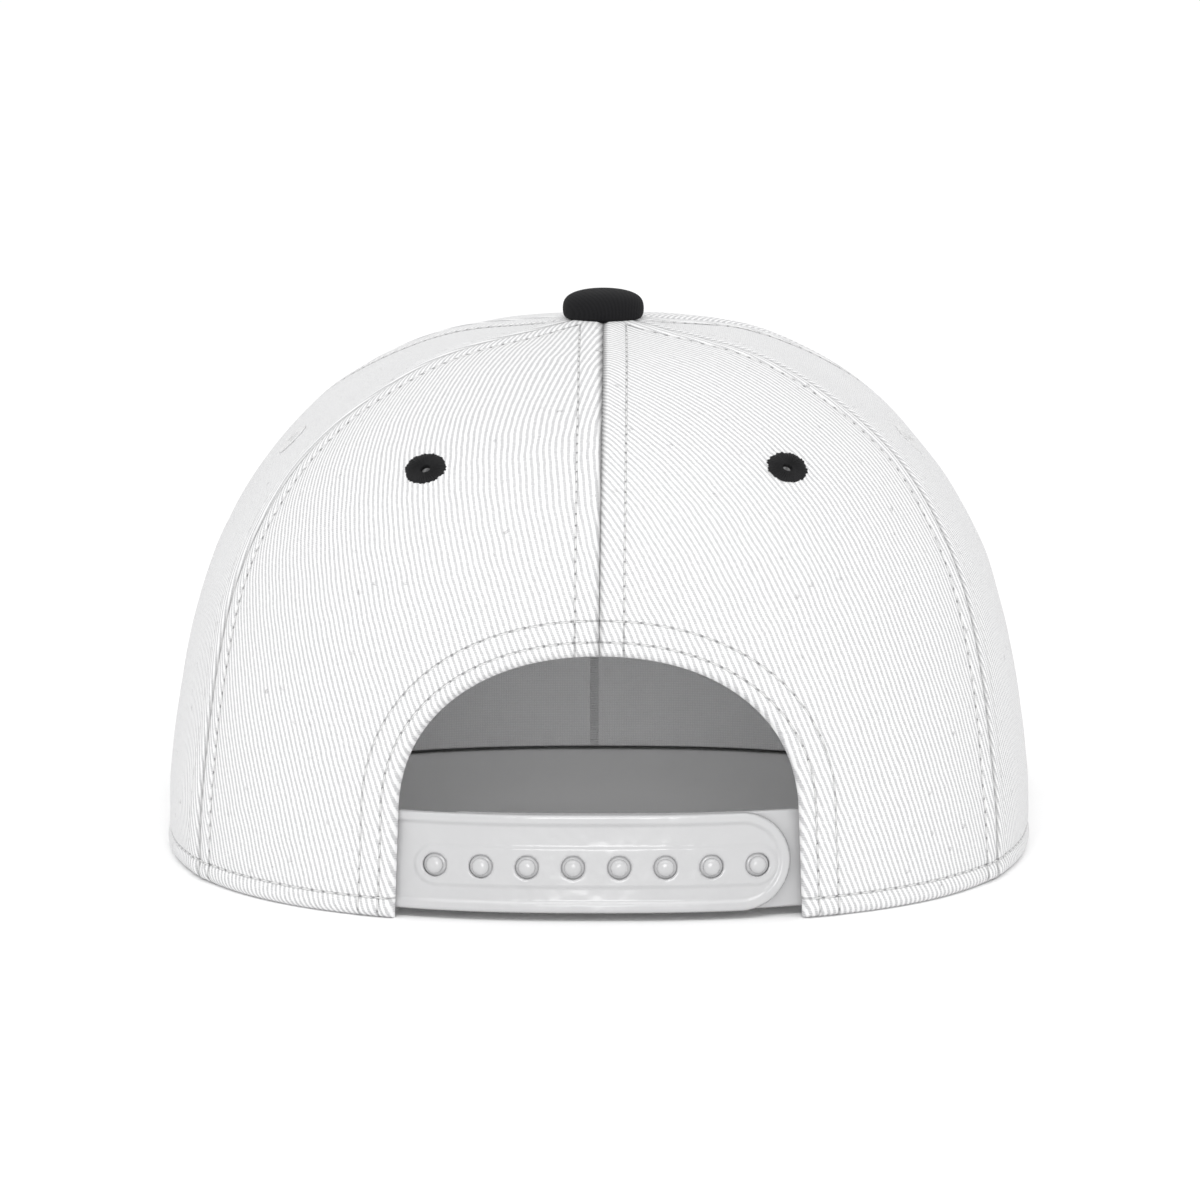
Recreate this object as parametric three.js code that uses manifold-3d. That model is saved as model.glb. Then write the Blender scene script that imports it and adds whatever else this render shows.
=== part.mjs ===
// A six-panel snapback cap with a flat brim and a plastic snap strap, in millimetres, +Z up.
// The cap stands on its rim at z = 0, with the brim towards +Y and the strap towards -Y.
// Azimuths are in degrees, 0 at the middle of the back and +90 at the wearer's right (+X).
import * as THREE from 'three';
import { mergeVertices } from 'three/addons/utils/BufferGeometryUtils.js';
import Module from 'manifold-3d';

const wasm = await Module();
wasm.setup();

// Crown
const crownHalfWidth = 92; // axis to the outside of the rim, at the side
const crownBack = 92; // axis to the outside of the rim, at the back
const crownFront = 90; // axis to the outside of the rim, at the front
const crownSquareness = 2.45; // exponent of the rim's oval, 2 is an ellipse
const crownHeight = 113; // floor to the point where the gores meet
const peakShift = 1; // the point lies this far towards +X
const gores = 6;
const cloth = 1.5; // one wall of stiffened twill
const foldThickness = 2.4; // wall where the edge is turned under
const foldWidth = 9; // height of the turned hem
const clearance = 0.3; // between neighbouring pieces

// Shape of the crown from rim to point. rise is a share of the crown's height. back, side and
// front are shares of the rim's reach in that direction.
const profile = [
  { rise: 0, back: 1, side: 1, front: 1 },
  { rise: 0.13, back: 0.985, side: 0.999, front: 1 },
  { rise: 0.27, back: 0.974, side: 0.978, front: 0.993 },
  { rise: 0.41, back: 0.968, side: 0.945, front: 0.975 },
  { rise: 0.55, back: 0.959, side: 0.89, front: 0.94 },
  { rise: 0.68, back: 0.93, side: 0.797, front: 0.885 },
  { rise: 0.79, back: 0.86, side: 0.677, front: 0.795 },
  { rise: 0.88, back: 0.722, side: 0.516, front: 0.66 },
  { rise: 0.945, back: 0.485, side: 0.35, front: 0.41 },
  { rise: 0.98, back: 0.17, side: 0.128, front: 0.12 },
  { rise: 1, back: 0, side: 0, front: 0 },
];

// Arched opening in the back
const archHalfWidth = 42.5; // middle of the back to the upright edge
const archUpright = 22.4; // height of the upright edge
const archHeight = 55.3; // floor to the top of the arch
const archSquareness = 2.15; // exponent of the arch's oval

// Eyelets
const eyeletRadius = 4.7;
const eyeletThickness = 0.8;
const eyeletNeck = 2; // radius of the neck that goes through the cloth
const eyeletBore = 1;
const eyelets = [
  { name: 'rear_left_eyelet', azimuth: -28, height: 91, black: true },
  { name: 'rear_right_eyelet', azimuth: 30, height: 91, black: true },
  { name: 'side_left_eyelet', azimuth: -88, height: 86, black: false },
  { name: 'side_right_eyelet', azimuth: 88, height: 86, black: false },
  { name: 'front_left_eyelet', azimuth: -150, height: 88, black: false },
  { name: 'front_right_eyelet', azimuth: 150, height: 88, black: false },
];

// Button
const buttonRadius = 8.7;
const buttonHeight = 4.9; // above the point of the crown
const buttonSeat = 0.9; // share of the radius that rests on the crown
const buttonPost = 1.8; // radius of the post under it
const buttonPostLength = 4.5;

// Outline of the button above its seat. reach is a share of its radius, rise of its height.
const buttonProfile = [
  { reach: 1, rise: 0.25 },
  { reach: 1, rise: 0.55 },
  { reach: 0.93, rise: 0.78 },
  { reach: 0.7, rise: 0.92 },
  { reach: 0.35, rise: 0.98 },
  { reach: 0, rise: 1 },
];

// Snap strap
const strapWidth = 20.6;
const strapLift = 1.8; // floor to the lower edge
const strapThickness = 1.1;
const rimWidth = 2.2;
const rimHeight = 0.5;
const tabLength = 13; // behind the gore, past the edge of the opening
const outerStrapEnd = 39.7; // middle of the back to the rounded tip
const innerStrapEnd = -38.4;
const snapCount = 8;
const snapPitch = 9.5;
const snapOffset = -0.5; // middle of the row of snaps, from the middle of the back
const snapHeight = 11.4; // floor to the snaps
const snapHole = 2.4;
const studRadius = 1.8;
const studHeight = 1.1; // above the face of the outer strap

// Outline of a stud's head. reach is a share of its radius, rise of its height.
const studProfile = [
  { reach: 1, rise: 0.4 },
  { reach: 0.7, rise: 0.85 },
  { reach: 0, rise: 1 },
];

// Sweatband
const bandHeight = 32;
const bandThickness = 1;
const bandLift = 0.8; // floor to its lower edge
const bandInset = 2; // degrees from the edge of the opening to its end
const bandEase = 10; // degrees over which it comes back out past the strap ends

// Brim
const brimProjection = 70; // rim to the brim's front edge
const brimInset = 3; // the brim is narrower than the crown by this on each side
const brimThickness = 3.4;
const brimArch = 2.5; // rise of the middle over the sides
const brimCorner = 112; // azimuth where the brim meets the side gores
const brimSquareness = 2.3; // exponent of the brim's front outline
const rimRise = 12; // degrees over which the rim climbs onto the brim

const brimHalfWidth = crownHalfWidth - brimInset;

const turn = THREE.MathUtils.degToRad;
const mix = THREE.MathUtils.lerp;

const white = { color: '#eeeeee', roughness: 0.85, metalness: 0 };
const black = { color: '#232325', roughness: 0.85, metalness: 0 };
const plastic = { color: '#e8e8ea', roughness: 0.3, metalness: 0 };

const cap = new THREE.Group();
cap.name = 'snapback_cap';

function addPiece(name, geometry, finish) {
  const mesh = new THREE.Mesh(geometry, new THREE.MeshStandardMaterial(finish));
  mesh.name = name;
  cap.add(mesh);
}

// The value between low and high at which a rising function passes the target.
function solve(rising, target, low, high) {
  for (let i = 0; i < 40; i += 1) {
    const middle = (low + high) / 2;
    if (rising(middle) < target) low = middle;
    else high = middle;
  }
  return (low + high) / 2;
}

// A column of the profile table at row 0 to 1, as a Catmull-Rom curve.
function profileAt(column, row) {
  const last = profile.length - 1;
  const value = (i) => {
    if (i < 0) return 2 * profile[0][column] - profile[1][column];
    if (i > last) return 2 * profile[last][column] - profile[last - 1][column];
    return profile[i][column];
  };
  const i = Math.min(Math.floor(row * last), last - 1);
  const t = row * last - i;
  const [a, b, c, d] = [value(i - 1), value(i), value(i + 1), value(i + 2)];
  return b + (t * (c - a + t * (2 * a - 5 * b + 4 * c - d + t * (3 * b - a - 3 * c + d)))) / 2;
}

function oval(x, y, halfX, halfY, exponent) {
  return ((Math.abs(x) / halfX) ** exponent + (Math.abs(y) / halfY) ** exponent) ** (-1 / exponent);
}

function rimRadius(azimuth) {
  const [sin, cos] = [Math.sin(turn(azimuth)), Math.cos(turn(azimuth))];
  return oval(sin, cos, crownHalfWidth, cos > 0 ? crownBack : crownFront, crownSquareness);
}

// Horizontal distance from the crown's axis.
function crownRadius(azimuth, row) {
  const cos = Math.cos(turn(azimuth));
  const end = profileAt(cos > 0 ? 'back' : 'front', row);
  return rimRadius(azimuth) * mix(profileAt('side', row), end, cos * cos);
}

function brimUnderside(x) {
  return brimArch * Math.max(0, 1 - (x / brimHalfWidth) ** 2);
}

// The rim lies on the floor at the back and sides, and climbs onto the brim in front.
function rimHeightAt(azimuth) {
  const start = brimCorner - rimRise;
  const climb = THREE.MathUtils.smoothstep(Math.abs(azimuth), start, brimCorner);
  const x = rimRadius(azimuth) * Math.sin(turn(azimuth));
  return climb * (brimUnderside(x) + brimThickness + clearance);
}

function crownPoint(azimuth, row) {
  const rise = profileAt('rise', row);
  const radius = crownRadius(azimuth, row);
  return new THREE.Vector3(
    radius * Math.sin(turn(azimuth)) + peakShift * rise ** 3,
    -radius * Math.cos(turn(azimuth)),
    mix(rimHeightAt(azimuth), crownHeight, rise),
  );
}

// Outward normal. It is level at the rim, so that the rim's edge is flat.
function crownNormal(azimuth, row) {
  const step = 0.01;
  const along = crownPoint(azimuth + 1, row).sub(crownPoint(azimuth - 1, row));
  const up = crownPoint(azimuth, Math.min(row + step, 1)).sub(crownPoint(azimuth, Math.max(row - step, 0)));
  const normal = along.cross(up);
  normal.z *= Math.min(1, row * (profile.length - 1));
  return normal.normalize();
}

// A point this deep inside the crown's outer face.
function insideCrown(azimuth, row, depth) {
  return crownPoint(azimuth, row).addScaledVector(crownNormal(azimuth, row), -depth);
}

function rowAtHeight(azimuth, height) {
  return solve((row) => crownPoint(azimuth, row).z, height, 0, 1);
}

function rowAtRadius(azimuth, radius) {
  return solve((row) => -crownRadius(azimuth, row), -radius, 0, 1);
}

// Azimuth of a gore's edge, half a clearance from the seam. side is 1 or -1.
function seamEdge(seam, side, row) {
  return seam + side * THREE.MathUtils.radToDeg(clearance / 2 / crownRadius(seam, row));
}

// A closed slab between two faces, each given at the columns and rows.
function slab(columns, rows, front, back) {
  const [m, n] = [columns.length, rows.length];
  const positions = [];
  for (const face of [front, back]) {
    for (const column of columns) {
      for (const row of rows) positions.push(...face(column, row).toArray());
    }
  }
  const at = (face, i, j) => (face * m + i) * n + j;
  const index = [];
  const quad = (a, b, c, d) => index.push(a, b, c, a, c, d);
  for (let i = 0; i + 1 < m; i += 1) {
    for (let j = 0; j + 1 < n; j += 1) {
      quad(at(0, i, j), at(0, i + 1, j), at(0, i + 1, j + 1), at(0, i, j + 1));
      quad(at(1, i, j), at(1, i, j + 1), at(1, i + 1, j + 1), at(1, i + 1, j));
    }
    quad(at(0, i, 0), at(1, i, 0), at(1, i + 1, 0), at(0, i + 1, 0));
    quad(at(0, i, n - 1), at(0, i + 1, n - 1), at(1, i + 1, n - 1), at(1, i, n - 1));
  }
  for (let j = 0; j + 1 < n; j += 1) {
    quad(at(0, 0, j), at(0, 0, j + 1), at(1, 0, j + 1), at(1, 0, j));
    quad(at(0, m - 1, j), at(1, m - 1, j), at(1, m - 1, j + 1), at(0, m - 1, j + 1));
  }
  const geometry = new THREE.BufferGeometry();
  geometry.setAttribute('position', new THREE.Float32BufferAttribute(positions, 3));
  geometry.setIndex(index);
  return geometry;
}

function steps(count, from = 0, to = 1) {
  return Array.from({ length: count + 1 }, (_, i) => mix(from, to, i / count));
}

function toSolid(geometry) {
  const bare = geometry.clone();
  bare.deleteAttribute('normal');
  bare.deleteAttribute('uv');
  const merged = mergeVertices(bare, 1e-4);
  return new wasm.Manifold(new wasm.Mesh({
    numProp: 3,
    vertProperties: new Float32Array(merged.attributes.position.array),
    triVerts: new Uint32Array(merged.index.array),
  }));
}

function toGeometry(solid) {
  const mesh = solid.getMesh();
  const geometry = new THREE.BufferGeometry();
  geometry.setAttribute('position', new THREE.BufferAttribute(mesh.vertProperties, 3));
  geometry.setIndex(new THREE.BufferAttribute(mesh.triVerts, 1));
  return geometry;
}

function lathe(outline, sides) {
  return new THREE.LatheGeometry(outline.map(([x, y]) => new THREE.Vector2(x, y)), sides);
}

// Turns a lathe's axis from +Y to the given direction and moves it to the point.
function standAt(geometry, point, direction) {
  const spin = new THREE.Quaternion().setFromUnitVectors(new THREE.Vector3(0, 1, 0), direction);
  return geometry.applyQuaternion(spin).translate(point.x, point.y, point.z);
}

// Eyelet: a flat ring on the cloth with a neck through it.
function eyeletPlace({ azimuth, height }) {
  const row = rowAtHeight(azimuth, height);
  return [crownPoint(azimuth, row), crownNormal(azimuth, row)];
}

function eyeletGeometry(eyelet) {
  const top = clearance + eyeletThickness;
  const outline = [
    [eyeletBore, -cloth - clearance], [eyeletNeck, -cloth - clearance], [eyeletNeck, clearance],
    [eyeletRadius, clearance], [eyeletRadius - eyeletThickness, top], [eyeletBore, top],
    [eyeletBore, -cloth - clearance],
  ];
  return standAt(lathe(outline, 18), ...eyeletPlace(eyelet));
}

function withEyeletHole(geometry, eyelet) {
  const drill = new THREE.CylinderGeometry(eyeletNeck + clearance, eyeletNeck + clearance, 6 * cloth, 12);
  return toGeometry(toSolid(geometry).subtract(toSolid(standAt(drill, ...eyeletPlace(eyelet)))));
}

// Gores
const goreAngle = 360 / gores;
const postHole = buttonPost + 2 * clearance;
const foldRow = rowAtHeight(90, foldWidth);
const archCornerRadius = (azimuth) => rimRadius(azimuth) * Math.sin(turn(azimuth));
const archCorner = solve(archCornerRadius, archHalfWidth, 0, goreAngle);

function goreRows(count) {
  return [0, foldRow, ...steps(count, foldRow, 1).slice(1)];
}

// Side and front gores run from seam to seam and from the rim to the hole for the button's post.
function plainGore(from, to) {
  const place = (depth) => (column, share) => {
    const row = share * rowAtRadius((from + to) / 2, postHole);
    const azimuth = mix(seamEdge(from, 1, row), seamEdge(to, -1, row), column);
    return insideCrown(azimuth, row, depth(share));
  };
  const wall = (share) => (share <= foldRow ? foldThickness : cloth);
  return slab(steps(8), goreRows(13), place(() => 0), place(wall));
}

// Edge of the arched opening, from its foot to the middle of the back.
function archEdge(share) {
  const upright = archUpright / (archHeight + archHalfWidth / 2); // share of the edge that is upright
  if (share < upright) return [archCorner, rowAtHeight(archCorner, (archUpright * share) / upright)];
  const angle = (Math.PI / 2) * ((share - upright) / (1 - upright));
  const azimuth = archCorner * Math.cos(angle) ** (2 / archSquareness);
  const height = mix(archUpright, archHeight, Math.sin(angle) ** (2 / archSquareness));
  const row = rowAtHeight(azimuth, height);
  return [Math.max(azimuth, seamEdge(0, 1, row)), row];
}

// A rear gore is a patch between four edges: the rim, the side seam, the back seam and the arch.
// The patch is blended on a flat chart whose middle is the crown's point.
function rearGore(side) {
  const top = rowAtRadius(goreAngle / 2, postHole);
  const toChart = ([azimuth, row]) => new THREE.Vector2(Math.sin(turn(azimuth)), Math.cos(turn(azimuth)))
    .multiplyScalar(1 - row);
  const tip = toChart([goreAngle / 2, top]);
  const archTop = archEdge(1)[1];
  const rim = (a) => toChart([mix(archCorner, seamEdge(goreAngle, -1, 0), a), 0]);
  const seamPoint = (seam, way, row) => (row === top ? tip : toChart([seamEdge(seam, way, row), row]));
  const backSeam = (a) => seamPoint(0, 1, mix(archTop, top, a));
  const sideSeam = (b) => seamPoint(goreAngle, -1, top * b);
  const arch = (b) => toChart(archEdge(b));
  const corners = [rim(0), rim(1), backSeam(0), tip];
  const place = (depth) => (a, b) => {
    const chart = rim(a).multiplyScalar(1 - b).addScaledVector(backSeam(a), b)
      .addScaledVector(arch(b), 1 - a).addScaledVector(sideSeam(b), a)
      .addScaledVector(corners[0], -(1 - a) * (1 - b)).addScaledVector(corners[1], -a * (1 - b))
      .addScaledVector(corners[2], -(1 - a) * b).addScaledVector(corners[3], -a * b);
    const row = 1 - chart.length();
    const azimuth = THREE.MathUtils.radToDeg(Math.atan2(chart.x, chart.y));
    return insideCrown(side * azimuth, row, depth(a, b));
  };
  const hemShare = 0.09; // share of the patch that the turned edges take
  const wall = (a, b) => (a <= hemShare || b <= hemShare ? foldThickness : cloth);
  const columns = [0, hemShare, ...steps(10, hemShare, 1).slice(1)];
  const rows = [0, hemShare, ...steps(14, hemShare, 1).slice(1)];
  const geometry = slab(columns, rows, place(() => 0), place(wall));
  if (side < 0) turnInsideOut(geometry);
  return geometry;
}

function turnInsideOut(geometry) {
  const index = geometry.index.array;
  for (let i = 0; i < index.length; i += 3) [index[i], index[i + 1]] = [index[i + 1], index[i]];
}

const goreTable = [
  { name: 'side_right_panel', from: 60, eyelet: 'side_right_eyelet' },
  { name: 'front_right_panel', from: 120, eyelet: 'front_right_eyelet' },
  { name: 'front_left_panel', from: -180, eyelet: 'front_left_eyelet' },
  { name: 'side_left_panel', from: -120, eyelet: 'side_left_eyelet' },
];
const eyeletNamed = (name) => eyelets.find((eyelet) => eyelet.name === name);

addPiece('rear_right_panel', withEyeletHole(rearGore(1), eyeletNamed('rear_right_eyelet')), white);
addPiece('rear_left_panel', withEyeletHole(rearGore(-1), eyeletNamed('rear_left_eyelet')), white);
for (const { name, from, eyelet } of goreTable) {
  addPiece(name, withEyeletHole(plainGore(from, from + goreAngle), eyeletNamed(eyelet)), white);
}
for (const eyelet of eyelets) {
  addPiece(eyelet.name, eyeletGeometry(eyelet), eyelet.black ? black : white);
}

// Button: a domed cap on the crown's point, with a post through the hole that the gores leave.
function buttonGeometry() {
  const seat = (radius) => crownPoint(0, rowAtRadius(0, radius)).z + clearance;
  const foot = crownHeight - buttonPostLength;
  const edge = buttonRadius * buttonSeat;
  const outline = [[0, foot], [buttonPost, foot]];
  for (const radius of [buttonPost, (buttonPost + edge) / 2, edge]) outline.push([radius, seat(radius)]);
  for (const { reach, rise } of buttonProfile) {
    outline.push([buttonRadius * reach, mix(seat(edge), crownHeight + buttonHeight, rise)]);
  }
  return standAt(lathe(outline, 24), new THREE.Vector3(peakShift, 0, 0), new THREE.Vector3(0, 0, 1));
}
addPiece('top_button', buttonGeometry(), black);

// Straps follow the inside of the crown, across the opening and behind the gores on both sides.
const strapDepth = foldThickness + clearance;
const innerStrapDepth = strapDepth + rimHeight + strapThickness + clearance;

function strapAzimuth(x, height, depth) {
  return solve((a) => insideCrown(a, rowAtHeight(a, height), depth).x, x, -goreAngle, goreAngle);
}

function strapPoint(x, height, depth) {
  const azimuth = strapAzimuth(x, height, depth);
  return insideCrown(azimuth, rowAtHeight(azimuth, height), depth);
}

function snapPlaces() {
  return steps(snapCount - 1).map((share) => snapOffset + (share - 0.5) * (snapCount - 1) * snapPitch);
}

// Half the strap's width at x, for a strap with a rounded tip that points along way (1 or -1).
function strapHalfWidth(x, tip, way) {
  const inset = Math.max(0, strapWidth / 2 - (tip - x) * way);
  return Math.sqrt(Math.max(0, (strapWidth / 2) ** 2 - inset ** 2));
}

function strapColumns(tail, tip, way) {
  const start = tip - (way * strapWidth) / 2;
  const straight = steps(12, tail, start);
  const roundTo = 78; // degrees of the tip's quarter turn, which leaves a narrow blunt end
  const round = steps(5, 0, roundTo).slice(1).map((angle) => Math.sin(turn(angle)));
  const columns = [...straight, ...round.map((sin) => start + (way * strapWidth * sin) / 2)];
  return way > 0 ? columns : columns.reverse();
}

const strapMiddle = strapLift + strapWidth / 2;

function outerStrap() {
  const rimRow = 1 - (2 * rimWidth) / strapWidth;
  const floorRow = rimRow - (2 * rimHeight) / strapWidth;
  const floorDepth = strapDepth + rimHeight;
  const faces = [
    { row: -1, depth: strapDepth },
    { row: -rimRow, depth: strapDepth },
    { row: -floorRow, depth: floorDepth },
    { row: floorRow, depth: floorDepth },
    { row: rimRow, depth: strapDepth },
    { row: 1, depth: strapDepth },
  ];
  const place = (depth) => (x, face) => (
    strapPoint(x, strapMiddle + face.row * strapHalfWidth(x, outerStrapEnd, 1), depth(face))
  );
  const back = floorDepth + strapThickness;
  const columns = strapColumns(-archHalfWidth - tabLength, outerStrapEnd, 1);
  let solid = toSolid(slab(columns, faces, place((face) => face.depth), place(() => back)));
  for (const x of snapPlaces()) {
    const drill = new THREE.CylinderGeometry(snapHole, snapHole, 6 * strapThickness, 12);
    solid = solid.subtract(toSolid(standAt(drill, ...snapAxis(x))));
  }
  return toGeometry(solid);
}

// Middle of a snap on the outer strap's face, and the direction that it points.
function snapAxis(x) {
  const point = strapPoint(x, snapHeight, strapDepth + rimHeight);
  const below = strapPoint(x, snapHeight, innerStrapDepth);
  return [point, point.clone().sub(below).normalize()];
}

function innerStrap() {
  const tail = archHalfWidth + tabLength;
  const depthAt = (x) => {
    const climb = THREE.MathUtils.smoothstep(x, outerStrapEnd, archHalfWidth + tabLength * 0.6);
    return mix(innerStrapDepth, strapDepth, climb);
  };
  const place = (extra) => (x, share) => (
    strapPoint(x, strapMiddle + share * strapHalfWidth(x, innerStrapEnd, -1), depthAt(x) + extra)
  );
  const columns = strapColumns(tail, innerStrapEnd, -1);
  let solid = toSolid(slab(columns, [-1, 0, 1], place(0), place(strapThickness)));
  const foot = strapDepth + rimHeight - innerStrapDepth - strapThickness / 2;
  const outline = [[0, foot], [studRadius, foot]];
  for (const { reach, rise } of studProfile) outline.push([studRadius * reach, studHeight * rise]);
  for (const x of snapPlaces()) {
    solid = solid.add(toSolid(standAt(lathe(outline, 10), ...snapAxis(x))));
  }
  return toGeometry(solid);
}
addPiece('strap_outer', outerStrap(), plastic);
addPiece('strap_inner', innerStrap(), plastic);

// Sweatband: round the inside of the rim from one side of the opening to the other. It leaves
// room for the ends of the straps, and in front it hangs past the rim to cover the brim's root.
function sweatband() {
  const start = archCorner + bandInset;
  const tabEnd = strapAzimuth(archHalfWidth + tabLength, strapLift + strapWidth, innerStrapDepth);
  const roomForTab = innerStrapDepth + strapThickness + clearance - strapDepth;
  const place = (extra) => (angle, share) => {
    const azimuth = angle > 180 ? angle - 360 : angle;
    const clear = THREE.MathUtils.smoothstep(Math.abs(azimuth), tabEnd, tabEnd + bandEase);
    const depth = strapDepth + roomForTab * (1 - clear) + extra;
    const height = bandLift + share * bandHeight;
    const point = insideCrown(azimuth, rowAtHeight(azimuth, height), depth);
    if (height < rimHeightAt(azimuth)) point.z = height;
    return point;
  };
  return slab(steps(44, start, 360 - start), steps(2), place(0), place(bandThickness));
}
addPiece('sweatband', sweatband(), white);

// Brim: a flat board under the front of the rim, with a slight arch from side to side.
function brim() {
  const corner = rimRadius(brimCorner);
  const cornerY = -corner * Math.cos(turn(brimCorner));
  const reach = crownFront + brimProjection - cornerY;
  const outline = (share) => {
    const angle = (share * Math.PI) / 2;
    const [sin, cos] = [Math.sin(angle), Math.cos(angle)];
    return new THREE.Vector2(
      Math.sign(sin) * brimHalfWidth * Math.abs(sin) ** (2 / brimSquareness),
      cornerY + reach * Math.abs(cos) ** (2 / brimSquareness),
    );
  };
  const root = (share) => {
    const azimuth = Math.sign(share || 1) * (180 - (180 - brimCorner) * Math.abs(share));
    const point = insideCrown(azimuth, 0, foldThickness);
    return new THREE.Vector2(point.x, point.y);
  };
  const place = (lift) => (share, out) => {
    const { x, y } = root(share).lerp(outline(share), out);
    return new THREE.Vector3(x, y, brimUnderside(x) + lift);
  };
  return slab(steps(32, -1, 1), steps(4), place(brimThickness), place(0));
}
addPiece('brim', brim(), black);

// The origin is the middle of the whole cap's footprint, on the floor.
const box = new THREE.Box3().setFromObject(cap);
const middle = box.getCenter(new THREE.Vector3());
cap.position.set(-middle.x, -middle.y, -box.min.z);

export default cap;
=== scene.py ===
# A white snapback cap with a black button and black rear eyelets, standing on its rim and seen
# from behind. Lengths are metres. The brim points to +Y, the strap to -Y.
import math
import random

import bmesh
import bpy
from mathutils import Matrix, Vector, kdtree, noise


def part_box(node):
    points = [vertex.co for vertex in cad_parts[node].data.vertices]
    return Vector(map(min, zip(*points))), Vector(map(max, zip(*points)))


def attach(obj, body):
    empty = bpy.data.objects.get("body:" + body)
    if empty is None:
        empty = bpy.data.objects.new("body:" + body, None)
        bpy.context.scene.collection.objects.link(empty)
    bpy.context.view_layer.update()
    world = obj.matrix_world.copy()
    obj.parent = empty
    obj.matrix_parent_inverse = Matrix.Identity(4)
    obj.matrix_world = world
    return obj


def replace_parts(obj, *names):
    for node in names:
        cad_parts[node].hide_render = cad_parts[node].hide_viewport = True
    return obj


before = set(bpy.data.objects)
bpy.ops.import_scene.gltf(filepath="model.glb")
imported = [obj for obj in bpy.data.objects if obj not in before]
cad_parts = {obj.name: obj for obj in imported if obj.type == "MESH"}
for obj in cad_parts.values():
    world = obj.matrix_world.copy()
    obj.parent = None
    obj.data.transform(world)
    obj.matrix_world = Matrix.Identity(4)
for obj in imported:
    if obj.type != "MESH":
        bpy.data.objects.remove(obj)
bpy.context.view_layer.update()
scene = bpy.context.scene
mm = 0.001

# Camera. It stands about two metres behind the cap and a little above it, with a long lens, so
# that the sides look nearly parallel. The cap's axis is the button's.
button_low, button_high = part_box("top_button")
crown_y = (button_low.y + button_high.y) / 2
peak_shift = (button_low.x + button_high.x) / 2
photo_pixels = 1200
focal_pixels = 8740
film_width = 36
camera_back = 1.840
camera_height = 0.398
camera_aside = 0.3 * mm
aim_height = 0.051

lens = bpy.data.cameras.new("photo_lens")
lens.lens = film_width * focal_pixels / photo_pixels
lens.sensor_width = film_width
lens.clip_end = 20
camera = bpy.data.objects.new("photo_camera", lens)
camera.location = (camera_aside, crown_y - camera_back, camera_height)
view_direction = Vector((0, camera_back, aim_height - camera_height))
camera.rotation_euler = view_direction.to_track_quat("-Z", "Y").to_euler()
scene.collection.objects.link(camera)
scene.camera = camera


# Studio. A pale sheet under the cap, white surroundings, a long lamp overhead and a round one over
# the camera. A faint lamp in the hollow stands for the light that white cloth lets through.
def studio_lamp(name, place, aim, width, depth, power):
    light = bpy.data.lights.new(name, "AREA")
    light.shape = "ELLIPSE"
    light.size, light.size_y = width, depth
    light.energy = power
    lamp = bpy.data.objects.new(name, light)
    lamp.location = place
    lamp.rotation_euler = (Vector(aim) - Vector(place)).to_track_quat("-Z", "Y").to_euler()
    lamp.visible_camera = False
    scene.collection.objects.link(lamp)


studio_lamp("overhead_lamp", (-0.05, crown_y - 0.9, 1.3), (0, crown_y, 0.05), 1.7, 0.22, 6)
studio_lamp("camera_lamp", (0, crown_y - 2.3, 0.55), (0, crown_y, 0.04), 0.9, 0.9, 10.5)
studio_lamp("hollow_lamp", (0, crown_y + 0.02, 0.08), (0, crown_y + 0.09, 0), 0.06, 0.06, 0.0075)

surroundings = bpy.data.worlds.new("white_surroundings")
surroundings.use_nodes = True
surroundings.node_tree.nodes["Background"].inputs["Color"].default_value = (1, 1, 1, 1)
surroundings.node_tree.nodes["Background"].inputs["Strength"].default_value = 1.0
scene.world = surroundings
scene.view_settings.view_transform = "Standard"

floor_bm = bmesh.new()
bmesh.ops.create_grid(floor_bm, x_segments=1, y_segments=1, size=6)
floor_mesh = bpy.data.meshes.new("studio_floor")
floor_bm.to_mesh(floor_mesh)
floor_bm.free()
floor = bpy.data.objects.new("studio_floor", floor_mesh)
scene.collection.objects.link(floor)
paper = bpy.data.materials.new("white_paper")
paper.use_nodes = True
paper_shader = paper.node_tree.nodes["Principled BSDF"]
paper_shader.inputs["Base Color"].default_value = (0.98, 0.98, 0.98, 1)
paper_shader.inputs["Roughness"].default_value = 0.9
floor.data.materials.append(paper)

# Crown gores. Six gores of white cotton twill, stiffened, sewn edge to edge and topstitched 5 mm
# from each seam. The rim and the arched opening are turned under and sewn down.
crown_half_width = 92 * mm
crown_back = 92 * mm
crown_front = 90 * mm
crown_squareness = 2.45
crown_height = 113 * mm
crown_profile = {
    "rise": (0, 0.13, 0.27, 0.41, 0.55, 0.68, 0.79, 0.88, 0.945, 0.98, 1),
    "back": (1, 0.985, 0.974, 0.968, 0.959, 0.93, 0.86, 0.722, 0.485, 0.17, 0),
    "side": (1, 0.999, 0.978, 0.945, 0.89, 0.797, 0.677, 0.516, 0.35, 0.128, 0),
    "front": (1, 1, 0.993, 0.975, 0.94, 0.885, 0.795, 0.66, 0.41, 0.12, 0),
}
last_row = len(crown_profile["rise"]) - 1
gore_angle = math.radians(60)
cloth = 1.5 * mm
fold = 2.4 * mm
seam_gap = 0.03 * mm
seam_lip = 0.3 * mm
fold_lip = 1.7 * mm
post_hole = 2.4 * mm
arch_half_width = 42.5 * mm
arch_upright = 22.4 * mm
arch_height = 55.3 * mm
arch_squareness = 2.15
upright_share = 0.28
brim_half_width = 89 * mm
brim_thickness = 3.4 * mm
brim_arch = 2.5 * mm
brim_corner = math.radians(112)
rim_rise = math.radians(12)
clearance = 0.3 * mm


def smoothstep(value, low, high):
    t = min(1, max(0, (value - low) / (high - low)))
    return t * t * (3 - 2 * t)


def mix(a, b, t):
    return a + (b - a) * t


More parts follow.
